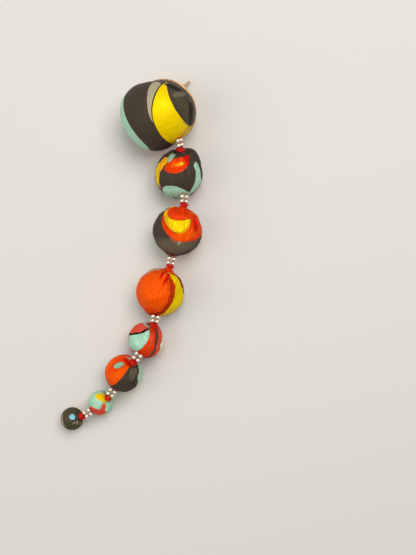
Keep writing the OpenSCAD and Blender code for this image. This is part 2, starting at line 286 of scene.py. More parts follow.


# The print: the ground of each ball, then its shapes in the order in which they lie over each
# other. Most shapes are print; those marked below are painted shade or painted sheen
GROUND = {1: "charcoal", 2: "charcoal", 3: "charcoal", 4: "vermilion",
          5: "vermilion", 6: "charcoal", 7: "mint", 8: "taupe"}
PRINT_AND_PAINTED_LIGHT = {
    1: [
        Shape("greige", (-0.15, 0.48), 91, (40, 11)),
        Shape("umber", (0.91, 0.14), 98, (66, 80)),
        Shape("yellow", (0.92, 0.12), 98, (65.5, 79.5)),
        # Painted shade: the yellow darkens to amber where the ball turns away at its lower right
        Shape("amber", (0.66, -0.62), 40, (18, 9), soft=1.2),
        Shape("charcoal", (0.85, 0.46), 92, (46, 50)),
        # The next four shapes are painted light, not print: the taupe region and the slate streak are
        # painted sheen, the umber patches painted shade in a fold at the top and along the right edge
        Shape("taupe", (0.60, 0.32), 112, (30, 10), soft=1.2),
        Shape("painted_sheen", (0.54, 0.57), 32, (15, 5), soft=0.8),
        Shape("umber", (0.38, 0.78), -18, (16, 9), soft=0.5),
        Shape("umber", (0.88, 0.02), 98, (22, 8), soft=1.2),
        Shape("mint", (-1.16, -0.24), 6, (39, 65), line="greige", line_width=0.12),
        Shape("charcoal", (-1.1, -1.5), 118, (40, 34)),
        Shape("amber", (1.30, -0.90), 60, (30, 24)),
        Shape("vermilion", (0.30, -1.50), 10, (34, 18)),
        Shape("mint", (-0.5, 1.6), 10, (30, 20)),
    ],
    2: [
        Shape("amber", (-0.74, 0.12), 60, (42, 27)),
        Shape("yellow", (-0.92, 0.00), 80, (30, 8), soft=1.6),
        Shape("charcoal", (-0.40, -0.12), 66, (52, 29)),
        Shape("sage", (-0.29, 0.70), 74, (14, 7.5), line="umber", line_width=0.1),
        Shape("vermilion", (-0.08, 0.37), 20, (32, 18), bend=0.35),
        Shape("red", (0.32, 0.60), 84, (15, 6), soft=0.4),
        Shape("orange", (-0.12, 0.42), 12, (18, 7), soft=0.8),
        Shape("amber", (0.03, 0.42), 12, (11, 3), soft=0.2),
        Shape("yellow", (0.10, 0.46), 10, (5, 3), soft=0.2),
        Shape("mint", (0.83, -0.22), 87, (43, 14), bend=0.6),
        Shape("mint", (0.77, 0.29), 100, (13, 10)),
        Shape("mint", (-0.13, -0.88), -61, (37, 31)),
        Shape("coral", (0.17, 0.90), 60, (5, 3)),
        Shape("vermilion", (0.6, -1.5), 30, (36, 18)),
        Shape("yellow", (-1.2, 0.9), 60, (30, 14)),
    ],
    3: [
        # Painted sheen: the lighter lower part of the dark silk
        Shape("painted_sheen", (-0.05, -0.66), 4, (50, 22), soft=2.5),
        Shape("vermilion", (0.43, 0.60), 39, (68, 60)),
        Shape("orange", (0.40, -0.16), 10, (34, 13), soft=2.0),
        Shape("amber", (-0.01, 0.71), 93, (48, 33), line="maroon", line_width=0.25),
        Shape("yellow", (0.06, 0.66), 93, (44, 28), soft=0.6),
        Shape("vermilion", (0.19, 0.84), 51, (37, 28.5), line="maroon", line_width=0.14),
        # Painted shade: deeper red where the right side lies in shade
        Shape("red", (0.74, 0.28), 75, (16, 8), soft=1.2),
        Shape("amber", (0.60, 0.72), -68, (8, 3)),
        Shape("greige", (0.06, -0.46), 60, (5, 2.5), soft=0.2),
        Shape("mint", (-1.1, -1.1), -40, (44, 18)),
        Shape("amber", (0.9, -1.2), 40, (30, 18)),
    ],
    4: [
        # A soft lighter orange over the middle and left: partly the dye, partly painted light on the
        # ball's lit middle
        Shape("orange", (-0.34, 0.10), 70, (70, 58), soft=5.0),
        Shape("blush", (-0.38, 0.97), 18, (29, 28), line="brick", line_width=0.12),
        # Its maroon outline is partly painted shade: it stands for the deep crease along the brick's
        # left edge
        Shape("brick", (1.02, -0.87), 124.5, (72, 107.5), line="maroon", line_width=0.16),
        Shape("yellow", (0.84, -0.43), 99, (73, 32), line="maroon", line_width=0.1),
        Shape("amber", (0.62, -0.78), 45, (30, 13), soft=2.0),
        # Painted shade: darker yellow in the shade of a fold
        Shape("amber", (0.74, 0.60), 108, (17, 8), soft=1.2),
        Shape("vermilion", (0.36, 0.93), 0, (22, 22), soft=1.0),
        # Painted shade: deeper red in the folds near the neck
        Shape("red", (0.27, 0.56), 64, (22, 4), soft=0.7),
        Shape("red", (0.10, 0.74), 72, (15, 4), soft=0.7),
        Shape("yellow", (0.56, 0.56), 96, (22, 5), soft=0.2),
        Shape("maroon", (0.88, 0.46), 93, (31, 13), soft=0.2),
        Shape("wine", (0.95, 0.40), 93, (30, 12), soft=0.3),
        Shape("mint", (-1.2, -0.9), -50, (36, 20)),
        Shape("charcoal", (1.2, -1.0), 60, (45, 40)),
        Shape("vermilion", (0.9, 1.3), 60, (45, 40)),
    ],
    5: [
        Shape("mint", (-0.56, 0.05), 34, (53, 34), bend=0.2, line="umber", line_width=0.1),
        Shape("coral", (-0.48, 0.86), -57, (47, 37), line="umber", line_width=0.85),
        Shape("mint", (-0.06, 0.88), 112, (12, 5), line="umber", line_width=0.08),
        Shape("greige", (0.16, 0.80), 80, (12, 4), soft=0.3),
        Shape("wine", (0.12, 0.92), 60, (6, 4), soft=0.1),
        Shape("orange", (0.38, 0.78), 70, (13, 5), soft=0.4),
        Shape("coral", (0.28, -0.05), 80, (30, 5), bend=0.4, soft=0.8),
        Shape("taupe", (1.49, -0.28), 90, (88, 88), line="brick", line_width=0.15),
        Shape("coral", (1.49, -0.28), 90, (79, 79)),
        Shape("cream", (1.49, -0.28), 90, (62, 62), line="umber", line_width=0.1),
        Shape("vermilion", (1.0, -1.0), 30, (40, 30)),
        Shape("charcoal", (-0.9, -1.3), 30, (36, 18)),
    ],
    6: [
        # Painted sheen: a lighter patch on the pleats
        Shape("painted_sheen", (0.56, 0.02), 72, (25, 13), soft=1.2),
        Shape("orange", (-0.54, 0.37), 50, (67, 45)),
        Shape("vermilion", (-0.20, 0.60), 45, (45, 17), soft=1.2),
        Shape("vermilion", (0.16, 0.98), 0, (24, 16), soft=0.4),
        # Painted shade: deeper red in the folds near the neck
        Shape("red", (0.22, 0.62), -60, (20, 6), soft=0.6),
        Shape("sage", (-0.28, 0.46), 14, (17, 10.5), line="taupe", line_width=0.1),
        Shape("mint", (0.28, 0.86), -60, (11, 6), line="umber", line_width=0.08),
        Shape("mint", (0.98, -0.04), 86, (44, 21), bend=-0.3, line="greige", line_width=0.12),
        Shape("yellow", (0.2, -1.5), 20, (36, 20)),
    ],
    7: [
        Shape("greige", (0.22, 0.84), -30, (14, 8), soft=0.3),
        Shape("yellow", (0.10, 0.44), -28, (35, 20), soft=0.2),
        Shape("coral", (-0.34, -0.80), 4, (42, 23), bend=0.3, line="orange", line_width=0.2),
        Shape("coral", (0.18, -0.50), 72, (27, 12)),
        Shape("orange", (0.27, -0.22), 78, (12, 6), soft=0.4),
        Shape("yellow", (0.36, -0.90), 50, (9, 5), soft=0.2),
        Shape("charcoal", (-0.9, 1.2), 40, (36, 20)),
    ],
    8: [
        Shape("aqua", (0.01, 0.17), 0, (15, 14), line="greige", line_width=0.08),
        Shape("greige", (0.18, -0.38), 38, (11, 3), soft=0.2),
        Shape("greige", (0.47, -0.32), 75, (13, 4), soft=0.2),
        Shape("greige", (0.72, -0.42), 110, (9, 3), soft=0.2),
        Shape("greige", (-0.86, -0.22), 98, (34, 7), bend=-0.3, soft=0.3),
        Shape("vermilion", (0.6, 1.3), 40, (30, 18)),
    ],
}


# Geometry helpers, in mm and degrees


def unit(v):
    """The vector v at length 1"""
    v = np.asarray(v, float)
    return v / np.linalg.norm(v)


def heading(azimuth, elevation):
    """Unit vector at an azimuth from +X towards +Y and an elevation above the surface"""
    az, el = math.radians(azimuth), math.radians(elevation)
    return np.array([math.cos(az) * math.cos(el), math.sin(az) * math.cos(el), math.sin(el)])


def ramp(x, low, high):
    """Smooth step from 0 at low to 1 at high"""
    t = np.clip((x - low) / (high - low), 0, 1)
    return t * t * (3 - 2 * t)


def sine(degrees):
    """Sine of an angle in degrees"""
    return np.sin(np.radians(degrees))


def tipped(azimuth, tip):
    """Rotation that tips +Z by an angle over towards an azimuth, then turns it there"""
    turn = Matrix.Rotation(math.radians(azimuth), 3, "Z")
    return np.array(turn @ Matrix.Rotation(math.radians(tip), 3, "Y"))


def ridge(a, count, seed):
    """Height of round pleats of uneven width over their valleys, 0 to 1, at angle a"""
    shift = SWAY[0] * sine(a + PHASES[0] * seed) + SWAY[1] * sine(2 * a + PHASES[1] * seed)
    height = np.abs(np.cos(np.radians(count * (a + shift) / 2)))
    return height * (1 - UNEVEN + UNEVEN * sine(3 * a + PHASES[2] * seed))


def swell(number, around):
    """How far the silk of a ball stands out, in mm, in the directions around its centre"""
    out = np.zeros(around.shape[:-1])
    for owner, place, height, spread in LOBES:
        if owner == number:
            off = np.degrees(np.arccos(np.clip(around @ heading(*place), -1, 1)))
            out += height * np.exp(-((off / spread) ** 2) / 2)
    return out


def seen_axes(centre):
    """Right, up and towards the camera at a point, as unit vectors"""
    towards = unit(np.array(CAMERA_AT) - centre)
    right = unit(np.array([1.0, 0.0, 0.0]) - towards[0] * towards)
    return right, np.cross(towards, right), towards


def place_on_ball(right, up):
    """Unit vector to a place on a ball as it is seen, where past 1 is the far side"""
    out = math.hypot(right, up)
    depth = math.sqrt(1 - out * out) if out <= 1 else 1 - out
    scale = 1 if out <= 1 else math.sqrt(1 - depth * depth) / out
    return np.array([right * scale, up * scale, depth])


def grid_faces(rings, sides):
    """Quads between rings of points, with a fan at each end: the first point and the last"""
    faces = []
    last = 1 + rings * sides
    for k in range(sides):
        after = (k + 1) % sides
        faces.append((0, 1 + after, 1 + k))
        faces.append((last, last - sides + k, last - sides + after))
    for j in range(rings - 1):
        low, high = 1 + j * sides, 1 + (j + 1) * sides
        for k in range(sides):
            after = (k + 1) % sides
            faces.append((low + k, low + after, high + after, high + k))
    return faces


def new_object(name, data):
    """An object in the scene that holds some data"""
    thing = bpy.data.objects.new(name, data)
    bpy.context.scene.collection.objects.link(thing)
    return thing


def mesh_object(name, points, faces):
    """A mesh object made from points in metres"""
    mesh = bpy.data.meshes.new(name)
    mesh.from_pydata([tuple(p) for p in points], [], faces)
    return new_object(name, mesh)


def mesh_piece(name, points, faces, material):
    """A smooth mesh object made from points in mm, riding on the part's body"""
    piece = mesh_object(name, np.asarray(points) * MM, faces)
    piece.data.materials.append(material)
    piece.data.polygons.foreach_set("use_smooth", [True] * len(faces))
    piece.data.update()
    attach(piece, BODY)
    return piece


def store(piece, name, values):
    """Keeps one vector for each vertex of a piece, for its material"""
    layer = piece.data.attributes.new(name, "FLOAT_VECTOR", "POINT")
    layer.data.foreach_set("vector", np.asarray(values, np.float32).ravel())


def tube(path, radius, sides):
    """Points and faces of a round thread along a path, with rounded ends"""
    path = np.asarray(path, float)
    along = np.gradient(path, axis=0)
    along /= np.linalg.norm(along, axis=1)[:, None]
    side = np.cross(along[0], [0.0, 0.0, 1.0])
    # A thread that starts nearly upright takes another side
    if np.linalg.norm(side) < 0.1:
        side = np.cross(along[0], [1.0, 0.0, 0.0])
    angles = np.linspace(0, 2 * np.pi, sides, endpoint=False)
    rings = []
    for i, p in enumerate(path):
        side = unit(side - (side @ along[i]) * along[i])
        up = np.cross(along[i], side)
        r = radius * (END_WIDTH if i in (0, len(path) - 1) else 1)
        rings.append(p + r * (np.outer(np.cos(angles), side) + np.outer(np.sin(angles), up)))
    beyond = radius * END_REACH
    ends = [path[0] - along[0] * beyond, path[-1] + along[-1] * beyond]
    points = np.vstack([ends[0][None], np.vstack(rings), ends[1][None]])
    run = np.concatenate([[0], np.cumsum(np.linalg.norm(np.diff(path, axis=0), axis=1))])
    lengths = np.concatenate([[0], np.repeat(run, sides), [run[-1]]])
    turns = np.concatenate([[0], np.tile(angles, len(path)), [0]])
    return points, grid_faces(len(path), sides), np.stack([lengths, turns, turns * 0], axis=1)


def joined(parts):
    """Several meshes of points, faces and stored vectors as one"""
    points, faces, vectors, start = [], [], [], 0
    for part_points, part_faces, part_vectors in parts:
        points.append(part_points)
        vectors.append(part_vectors)
        faces += [tuple(start + i for i in face) for face in part_faces]
        start += len(part_points)
    return np.vstack(points), faces, np.vstack(vectors)


# Material helpers


def linear(hex_colour):
    """Linear RGBA of an sRGB hex value"""
    channels = [int(hex_colour[i:i + 2], 16) / 255 for i in (1, 3, 5)]
    return [c / 12.92 if c <= 0.04045 else ((c + 0.055) / 1.055) ** 2.4 for c in channels] + [1.0]


def add_node(tree, kind, inputs=None, **settings):
    """Adds a shader node, sets its properties, then fills or links its inputs. A node that is
    given as an input stands for the first of its outputs that is in use"""
    node = tree.nodes.new("ShaderNode" + kind)
    for name, value in settings.items():
        setattr(node, name, value)
    for name, value in (inputs or {}).items():
        if isinstance(value, bpy.types.Node):
            value = next(output for output in value.outputs if output.enabled)
        if isinstance(value, bpy.types.NodeSocket):
            tree.links.new(value, node.inputs[name])
        else:
            node.inputs[name].default_value = value
    return node


def new_material(name):
    """An empty node material, and its tree"""
    material = bpy.data.materials.new(name)
    material.use_nodes = True
    material.node_tree.nodes.clear()
    return material, material.node_tree


def laid_shape_group():
    """Node group that lays one shape over the colour under it: a printed one, or one of painted
    shade or painted sheen. Around its middle the ball is unrolled flat, so that arcs keep their
    length, and the shape is an ellipse that may bend"""
    name = "laid_shape"
    if name in bpy.data.node_groups:
        return bpy.data.node_groups[name]
    tree = bpy.data.node_groups.new(name, "ShaderNodeTree")
    sockets = {
        "Around": "Vector", "Under": "Color", "Dye": "Color", "Middle": "Vector",
        "Along": "Vector", "Across": "Vector", "Bend": "Float", "Soft": "Float",
    }
    for socket, kind in sockets.items():
        tree.interface.new_socket(socket, in_out="INPUT", socket_type=f"NodeSocket{kind}")
    tree.interface.new_socket("Colour", in_out="OUTPUT", socket_type="NodeSocketColor")
    given = tree.nodes.new("NodeGroupInput").outputs

    around = given["Around"]
    nearness = add_node(tree, "VectorMath", {0: around, 1: given["Middle"]}, operation="DOT_PRODUCT")
    clamped = add_node(tree, "Clamp", {"Value": nearness, "Min": -1.0, "Max": 1.0})
    arc = add_node(tree, "Math", {0: clamped}, operation="ARCCOSINE")
    off = add_node(tree, "Math", {0: arc}, operation="SINE")
    safe = add_node(tree, "Math", {0: off, 1: 0.0001}, operation="MAXIMUM")
    unroll = add_node(tree, "Math", {0: arc, 1: safe}, operation="DIVIDE")
    flat = add_node(tree, "VectorMath", {0: around, "Scale": unroll}, operation="SCALE")
    x = add_node(tree, "VectorMath", {0: flat, 1: given["Along"]}, operation="DOT_PRODUCT")
    y = add_node(tree, "VectorMath", {0: flat, 1: given["Across"]}, operation="DOT_PRODUCT")
    x2 = add_node(tree, "Math", {0: x, 1: x}, operation="MULTIPLY")
    bow = add_node(tree, "Math", {0: x2, 1: given["Bend"]}, operation="MULTIPLY")
    bent = add_node(tree, "Math", {0: y, 1: bow}, operation="SUBTRACT")
    reach = add_node(tree, "Math", {0: bent, 1: bent, 2: x2}, operation="MULTIPLY_ADD")
    outer = add_node(tree, "Math", {0: 1.0, 1: given["Soft"]}, operation="ADD")
    inner = add_node(tree, "Math", {0: 1.0, 1: given["Soft"]}, operation="SUBTRACT")
    inside = add_node(
        tree, "MapRange", {"Value": reach, "From Min": outer, "From Max": inner},
        interpolation_type="SMOOTHSTEP")
    # A Mix node has one set of sockets for each kind of data: 6 and 7 are the two colours that go
    # in, and 2 is the one that comes out
    laid = add_node(
        tree, "Mix", {"Factor": inside, 6: given["Under"], 7: given["Dye"]}, data_type="RGBA")
    output = tree.nodes.new("NodeGroupOutput")
    tree.links.new(laid.outputs[2], output.inputs["Colour"])
    return tree


def print_and_painted_light_colour(tree, number, centre, radius, dyes, silk, cloth):
    """The ground of a ball with its shapes laid over each other, as a node: print, with painted shade
    and painted sheen among them
    """
    around = add_node(tree, "Attribute", attribute_name="around").outputs["Vector"]

    # The dye creeps a little along the threads, so no printed edge is quite smooth
    creep = add_node(tree, "TexNoise", {"Vector": cloth, "Scale": MM / silk.creep_length})
    centred = add_node(
        tree, "VectorMath", {0: creep.outputs["Color"], 1: (0.5, 0.5, 0.5)}, operation="SUBTRACT")
    share = 2 * silk.creep / (radius * MM)
    moved = add_node(
        tree, "VectorMath", {0: centred, 1: (share, share, share), 2: around},
        operation="MULTIPLY_ADD")
    crept = add_node(tree, "VectorMath", {0: moved}, operation="NORMALIZE")

    axes = np.array(seen_axes(centre))
    colour = linear(dyes[GROUND[number]])
    for shape in PRINT_AND_PAINTED_LIGHT[number]:
        middle = place_on_ball(*shape.place)
        slant = heading(shape.turn, 0)
        along = unit(slant - (slant @ middle) * middle)
        across = np.cross(middle, along)
        layers = [(shape.dye, 0.0)]
        if shape.line:
            layers.insert(0, (shape.line, shape.line_width / radius))
        for dye, grow in layers:
            length, width = (math.radians(half) + grow for half in shape.half)
            colour = add_node(
                tree, "Group",
                {"Around": crept, "Under": colour, "Dye": linear(dyes[dye]),
                 "Middle": middle @ axes, "Along": along @ axes / length,
                 "Across": across @ axes / width, "Bend": shape.bend,
                 "Soft": min(SOFTEST, 2 * (silk.edge / MM + shape.soft) / (width * radius))},
                node_tree=laid_shape_group())
    return colour


def pull_lines(tree, cloth, radius, toned, relief, silk):
    """Fine creases that run out from a gathered neck and fade towards the middle of the ball, with
    painted shade darkening the colour in them. Gives the nodes of the colour with that painted
    shade and of the added relief"""
    ray = add_node(tree, "VectorMath", {0: cloth}, operation="NORMALIZE")
    reach = add_node(tree, "VectorMath", {0: cloth}, operation="LENGTH")
    fanned = add_node(
        tree, "VectorMath", {0: ray, "Scale": silk.pulls / (2 * math.pi)}, operation="SCALE")
    along = add_node(tree, "Math", {0: reach, 1: MM / silk.pull_length}, operation="MULTIPLY")
    drawn = add_node(tree, "CombineXYZ", {"Z": along})
    place = add_node(tree, "VectorMath", {0: fanned, 1: drawn}, operation="ADD")
    wander = add_node(tree, "TexNoise", {"Vector": place, "Scale": 1.0, "Roughness": 0.6})
    start, full = (share * radius for share in PULLS_START)
    nearer = add_node(tree, "MapRange", {"Value": reach, "From Min": start, "From Max": full})
    # Only the low places of the noise are creases
    line = add_node(tree, "MapRange", {"Value": wander, "From Min": 0.55, "From Max": 0.32})
    strength = add_node(tree, "Math", {0: nearer, 1: line}, operation="MULTIPLY")
    # Painted shade: the colour is darkened along the creases
    shade = add_node(
        tree, "MapRange", {"Value": strength, "To Min": 1.0, "To Max": 1 - silk.pull_painted_shade})
    crease_painted_shade = add_node(tree, "VectorMath", {0: toned, "Scale": shade}, operation="SCALE")
    pressed = add_node(
        tree, "Bump", {"Height": strength, "Distance": silk.pull_depth, "Normal": relief},
        invert=True)
    return crease_painted_shade, pressed


# Materials


def printed_silk_satin_with_painted_light(number, centre, radius, dyes, silk, gathered):
    """Silk satin, woven from reeled filament with long floats on its face and screen printed.
    To the eye: saturated flat dyes with crisp edges, a soft sheen that runs along the threads,
    and a faint streak and crinkle where it is pulled over the core. Gathered silk has fine
    creases as well, with painted shade in them. Some shapes laid with the print are painted
    shade and painted sheen"""
    material, tree = new_material(f"printed_silk_satin_with_painted_light_{number}")
    cloth = add_node(tree, "Attribute", attribute_name="cloth").outputs["Vector"]
    colour = print_and_painted_light_colour(tree, number, centre, radius, dyes, silk, cloth)

    # Warp floats, and the finer wefts across them
    along, across = MM / silk.float_length, MM / silk.thread_gap
    threads = []
    for stretch, detail, rough in (((across, along, 0), 1.5, 0.5), ((along, across, 0), 1.0, 0.4)):
        drawn = add_node(tree, "VectorMath", {0: cloth, 1: stretch}, operation="MULTIPLY")
        threads.append(add_node(
            tree, "TexNoise",
            {"Vector": drawn, "Scale": 1.0, "Detail": detail, "Roughness": rough}))
    floats, wefts = threads

    # Tone of the cloudy dye bath, streaks along the floats and their roughness. Columns: noise,
    # its lowest and highest value, the middle that it is turned into and the spread round it
    cloud = add_node(tree, "TexNoise", {"Vector": cloth, "Scale": CLOUD_SCALE, "Detail": 3.0})
    spreads = []
    for noise, low, high, middle, spread in (
            (cloud, 0.25, 0.75, 1, silk.cloudiness),
            (floats, 0.2, 0.8, 1, silk.streak),
            (floats, 0.2, 0.8, silk.roughness, silk.rough_spread)):
        spreads.append(add_node(
            tree, "MapRange",
            {"Value": noise, "From Min": low, "From Max": high,
             "To Min": middle - spread, "To Max": middle + spread}))
    tone, streak, rough = spreads
    shade = add_node(tree, "Math", {0: tone, 1: streak}, operation="MULTIPLY")
    toned = add_node(tree, "VectorMath", {0: colour, "Scale": shade}, operation="SCALE")

    # Relief: the crinkle of hand-pulled silk, the creases of the neck and the threads. The creases of
    # the neck also get painted shade in the colour
    crinkle = add_node(
        tree, "TexNoise",
        {"Vector": cloth, "Scale": MM / silk.crinkle_width, "Detail": 3.0, "Roughness": 0.55})
    relief = add_node(tree, "Bump", {"Height": crinkle, "Distance": silk.crinkle_depth})
    if gathered:
        toned, relief = pull_lines(tree, cloth, radius, toned, relief, silk)
    for height, depth in ((floats, silk.weave_depth), (wefts, silk.weave_depth * 0.5)):
        relief = add_node(tree, "Bump", {"Height": height, "Distance": depth, "Normal": relief})
    # Silk's sheen takes on the colour of its dye, so it is a little metallic and else matt
    shader = add_node(
        tree, "BsdfPrincipled",
        {"Base Color": toned, "Roughness": rough, "IOR": 1.5, "Specular IOR Level": 0.05,
         "Metallic": 0.18, "Normal": relief})
    add_node(tree, "OutputMaterial", {"Surface": shader})
    return material


def twisted_silk_thread(name, thread):
    """Sewing silk, two plies twisted together and dyed in the hank. To the eye: a deep, slightly
    glossy colour with fine slanting highlights from the plies, partly from their bump and partly
    painted into the colour as lighter crowns with painted shade between them"""
    material, tree = new_material(name)
    run = add_node(tree, "Attribute", attribute_name="run").outputs["Vector"]
    parts = add_node(tree, "SeparateXYZ", {"Vector": run}).outputs
    twist = 2 * math.pi * MM / thread.twist
    along = add_node(tree, "Math", {0: parts["X"], 1: twist}, operation="MULTIPLY")
    phase = add_node(tree, "Math", {0: parts["Y"], 1: PLIES, 2: along}, operation="MULTIPLY_ADD")
    wave = add_node(tree, "Math", {0: phase}, operation="SINE")
    # Painted light: the colour is lighter on the crowns of the plies and darker, as painted shade,
    # between them
    shade = add_node(
        tree, "MapRange",
        {"Value": wave, "From Min": -1.0, "From Max": 1.0, "To Min": 0.7, "To Max": 1.08})
    dye = linear(thread.colour)[:3]
    colour = add_node(tree, "VectorMath", {0: dye, "Scale": shade}, operation="SCALE")
    plies = add_node(tree, "Bump", {"Height": wave, "Distance": thread.ply_depth})
    shader = add_node(
        tree, "BsdfPrincipled",
        {"Base Color": colour, "Roughness": 0.5, "IOR": 1.5, "Specular IOR Level": 0.2,
         "Normal": plies})
    add_node(tree, "OutputMaterial", {"Surface": shader})
    return material


def plated_brass(name, hex_colour, roughness, metal):
    """Brass, pressed or turned, tumbled smooth and electroplated. To the eye: bright mirrored
    highlights, softened by tiny dents and by scuffs where it has rubbed"""
    material, tree = new_material(name)
    place = add_node(tree, "TexCoord").outputs["Object"]
    dents = add_node(
        tree, "TexNoise",
        {"Vector": place, "Scale": 1 / metal.dent_size, "Detail": 3.0, "Roughness": 0.6})
    scuffs = add_node(
        tree, "TexNoise",
        {"Vector": place, "Scale": SCUFF_FINENESS / metal.dent_size, "Detail": 4.0, "Roughness": 0.7})
    rough = add_node(
        tree, "MapRange",
        {"Value": scuffs, "From Min": 0.35, "From Max": 0.75,
         "To Min": roughness, "To Max": roughness + metal.scuffed})
    tarnish = add_node(
        tree, "MapRange",
        {"Value": dents, "From Min": 0.3, "From Max": 0.8, "To Min": 1.0, "To Max": 0.86})
    plating = linear(hex_colour)[:3]
    colour = add_node(tree, "VectorMath", {0: plating, "Scale": tarnish}, operation="SCALE")
    bump = add_node(tree, "Bump", {"Height": dents, "Distance": metal.dent_depth})
    shader = add_node(
        tree, "BsdfPrincipled",
        {"Base Color": colour, "Metallic": 1.0, "Roughness": rough, "Normal": bump})
    add_node(tree, "OutputMaterial", {"Surface": shader})
    return material


def studio_paper(hex_colour):
    """Seamless studio paper, matt and even, with the faintest tooth"""
    material, tree = new_material("studio_paper")
    place = add_node(tree, "TexCoord").outputs["Object"]
    tooth = add_node(tree, "TexNoise", {"Vector": place, "Scale": PAPER_GRAINS})
    bump = add_node(tree, "Bump", {"Height": tooth, "Distance": PAPER_TOOTH, "Strength": 0.5})
    shader = add_node(
        tree, "BsdfPrincipled",
        {"Base Color": linear(hex_colour), "Roughness": 0.9, "Specular IOR Level": 0.2,
         "Normal": bump})
    add_node(tree, "OutputMaterial", {"Surface": shader})
    return material


# Properties


class DyeProps(PropertyGroup):
    """Dyes of the printed silk, and colours of the painted shade and painted sheen on it, as sRGB hex
    values
    """

    charcoal: StringProperty(name="Charcoal", description="Dark ground", default="#483d33")
    # Painted sheen: this colour is used only for lighter sheen on dark silk, not as a ground
    painted_sheen: StringProperty(name="Slate", description="Cooler dark ground", default="#6e6252")
    taupe: StringProperty(name="Taupe", description="Lighter dark ground", default="#4f4838")
    umber: StringProperty(name="Umber", description="Darkest brown line", default="#20160e")
    greige: StringProperty(name="Greige", description="Pale grey-beige", default="#aca184")
    cream: StringProperty(name="Cream", description="Palest shape", default="#e6dcc4")
    blush: StringProperty(name="Blush", description="Pale pink beige", default="#c99476")
    yellow: StringProperty(name="Yellow", description="Bright yellow", default="#f0cc00")
    amber: StringProperty(name="Amber", description="Orange yellow", default="#e8a410")
    orange: StringProperty(name="Orange", description="Bright orange", default="#f35602")
    vermilion: StringProperty(name="Vermilion", description="Orange red", default="#e63c05")
    red: StringProperty(name="Red", description="Deep red", default="#cc0e04")
    brick: StringProperty(name="Brick", description="Brown red", default="#b62c06")
    maroon: StringProperty(name="Maroon", description="Dark red line", default="#7c1404")
    wine: StringProperty(name="Wine", description="Purple red", default="#9c2236")
    coral: StringProperty(name="Coral", description="Pink red", default="#dd4e38")
    mint: StringProperty(name="Mint", description="Pale blue-green", default="#a8d4b8")
    sage: StringProperty(name="Sage", description="Greyer blue-green", default="#9ab596")
    aqua: StringProperty(name="Aqua", description="Pale blue", default="#7bd0e0")


class SilkProps(PropertyGroup):
    """Weave and folds of the silk"""

    thread_gap: FloatProperty(
        name="Thread gap", description="Width of one float, coarser than real so that it shows",
        default=0.28 * MM, unit="LENGTH")
    float_length: FloatProperty(
        name="Float length", description="Length of one float", default=2.2 * MM, unit="LENGTH")
    weave_depth: FloatProperty(
        name="Weave depth", description="Height of the floats", default=0.02 * MM, unit="LENGTH")
    crinkle_width: FloatProperty(
        name="Crinkle width", description="Width of the crinkles", default=1.6 * MM, unit="LENGTH")
    crinkle_depth: FloatProperty(
        name="Crinkle depth", description="Depth of the crinkles", default=0.09 * MM, unit="LENGTH")
    pulls: IntProperty(name="Pull lines", description="Number round a neck", default=46)
    pull_length: FloatProperty(
        name="Pull length", description="Length of one pull line", default=7 * MM, unit="LENGTH")
    pull_depth: FloatProperty(
        name="Pull depth", description="Depth of the pull lines", default=0.12 * MM, unit="LENGTH")
    pull_painted_shade: FloatProperty(
        name="Pull shade", description="How much they darken the silk", default=0.3,
        subtype="FACTOR")
    creep: FloatProperty(
        name="Dye creep", description="How far printed edges wander", default=0.12 * MM, unit="LENGTH")
    creep_length: FloatProperty(
        name="Creep length", description="Length of one wander", default=1.3 * MM, unit="LENGTH")
    edge: FloatProperty(
        name="Edge", description="Softness of printed edges", default=0.06 * MM, unit="LENGTH")
    cloudiness: FloatProperty(
        name="Cloudiness", description="Unevenness of the dye", default=0.08, subtype="FACTOR")
    streak: FloatProperty(
        name="Streak", description="Strength of the streaks", default=0.06, subtype="FACTOR")
    roughness: FloatProperty(
        name="Roughness", description="Roughness of the satin", default=0.5, subtype="FACTOR")
    rough_spread: FloatProperty(
        name="Roughness spread", description="How much it varies along the floats",
        default=0.06, subtype="FACTOR")
    gather_depth: FloatProperty(
        name="Gather depth", description="Depth of a usual gather", default=0.45 * MM, unit="LENGTH")
    fold_steep: FloatProperty(
        name="Steep side", description="Width of a fold's steep side", default=0.28 * MM, unit="LENGTH")
    fold_soft: FloatProperty(
        name="Soft side", description="Width of a fold's soft side", default=0.9 * MM, unit="LENGTH")
    tuck_depth: FloatProperty(
        name="Tuck depth", description="Depth of the tucks of the top ball",
        default=0.35 * MM, unit="LENGTH")
    slack: FloatProperty(
        name="Slack", description="How much too wide the silk is at the neck", default=0.3,
        subtype="FACTOR")
    sink: FloatProperty(
        name="Sink", description="How far slack silk can sink towards the core",
        default=0.7 * MM, unit="LENGTH")
    most: FloatProperty(
        name="Most", description="How far a point may move as the silk settles",
        default=0.9 * MM, unit="LENGTH")
    steps: IntProperty(name="Steps", description="Frames of the simulation", default=20)
    sides: IntProperty(name="Sides", description="Points round each ball", default=288)


class ThreadProps(PropertyGroup):
    """Thread of the bindings and of the links"""

    colour: StringProperty(name="Red", description="Colour of the thread", default="#de150a")
    binding: FloatProperty(
        name="Binding thread", description="Its thickness", default=0.32 * MM, unit="LENGTH")
    link: FloatProperty(
        name="Link thread", description="Its thickness", default=0.38 * MM, unit="LENGTH")
    twist: FloatProperty(
        name="Twist", description="Length of one twist", default=0.9 * MM, unit="LENGTH")
    ply_depth: FloatProperty(
        name="Ply depth", description="Depth between the plies", default=0.04 * MM, unit="LENGTH")


